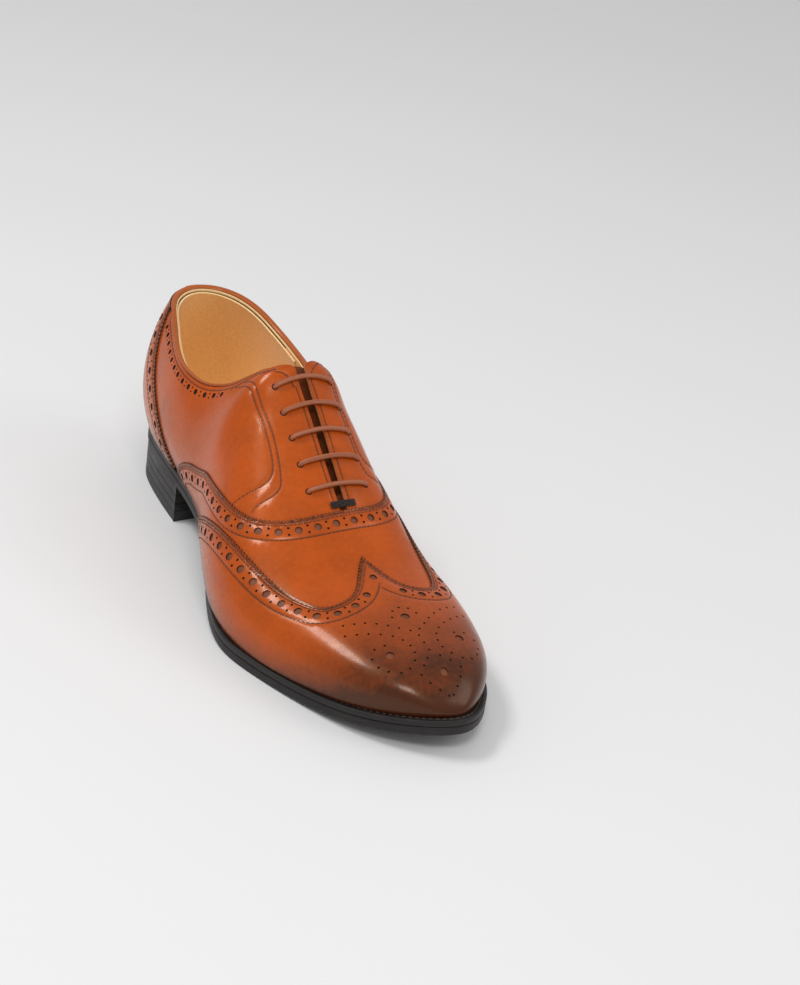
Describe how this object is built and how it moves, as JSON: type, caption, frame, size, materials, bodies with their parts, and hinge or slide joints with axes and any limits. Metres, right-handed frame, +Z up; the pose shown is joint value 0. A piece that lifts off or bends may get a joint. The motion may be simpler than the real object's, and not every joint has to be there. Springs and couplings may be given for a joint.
{
  "type": "leather oxford shoe",
  "caption": "Right-foot closed-lacing wingtip oxford with brogued leather upper, welted sole, stacked heel and laced-in tongue.",
  "frame": {"origin": "centre of the bounding box's base, on the floor under the shoe", "axes": "-Y towards the toe, +X towards the big-toe (medial) side, +Z up"},
  "size_m": [0.1106, 0.3044, 0.1095],
  "materials": {
    "calf_tan": "burnished tan calf, polished",
    "calf_brown": "dark brown calf, polished",
    "lining_leather": "tan lining leather, matte",
    "sole_leather": "dark brown edge dressing, satin",
    "heel_stack_leather": "dark brown edge dressing, satin",
    "insole_leather": "vegetable tanned, matte",
    "sock_leather": "cream, matte",
    "stiffener_board": "leather board, matte",
    "heel_rubber": "moulded, matte",
    "cork": "pressed cork granules",
    "steel": "bright wire and strip",
    "waxed_lace": "waxed round cotton lace",
    "aglet_film": "heat-shrunk film",
    "black_thread": "bar tack in black thread"
  },
  "bodies": {
    "root": {"outsole": "sole_leather", "welt": "sole_leather", "cork_filler": "cork", "shank": "steel", "insole": "insole_leather", "sock_liner": "sock_leather", "heel_top_piece": "heel_rubber", "heel_lift_1": "heel_stack_leather", "heel_lift_2": "heel_stack_leather", "heel_lift_3": "heel_stack_leather", "heel_nail_1": "steel", "heel_nail_2": "steel", "heel_nail_3": "steel", "heel_nail_4": "steel", "heel_nail_5": "steel", "wing_cap": "calf_tan", "vamp": "calf_tan", "toe_puff": "stiffener_board", "quarter_lateral": "calf_tan", "quarter_medial": "calf_tan", "heel_foxing_lateral": "calf_tan", "heel_foxing_medial": "calf_tan", "eyelet_stay_lateral": "stiffener_board", "eyelet_stay_medial": "stiffener_board", "quarter_lining_lateral": "lining_leather", "quarter_lining_medial": "lining_leather", "heel_lining": "lining_leather", "heel_counter": "stiffener_board", "back_strip": "calf_tan", "vamp_lining": "lining_leather", "topline_binding": "calf_brown", "shoelace": "waxed_lace", "aglet_1": "aglet_film", "aglet_2": "aglet_film", "bar_tack": "black_thread"},
    "tongue": {"tongue": "calf_brown", "tongue_lining": "lining_leather"}
  },
  "joints": [
    {"name": "tongue_hinge", "type": "hinge", "parent": "root", "child": "tongue", "pos_m": [0.00814, -0.02306, 0.05707], "axis": [-1, 0, 0], "range_deg": [0, 20], "stiffness_Nm_per_rad": 0.3}
  ]
}
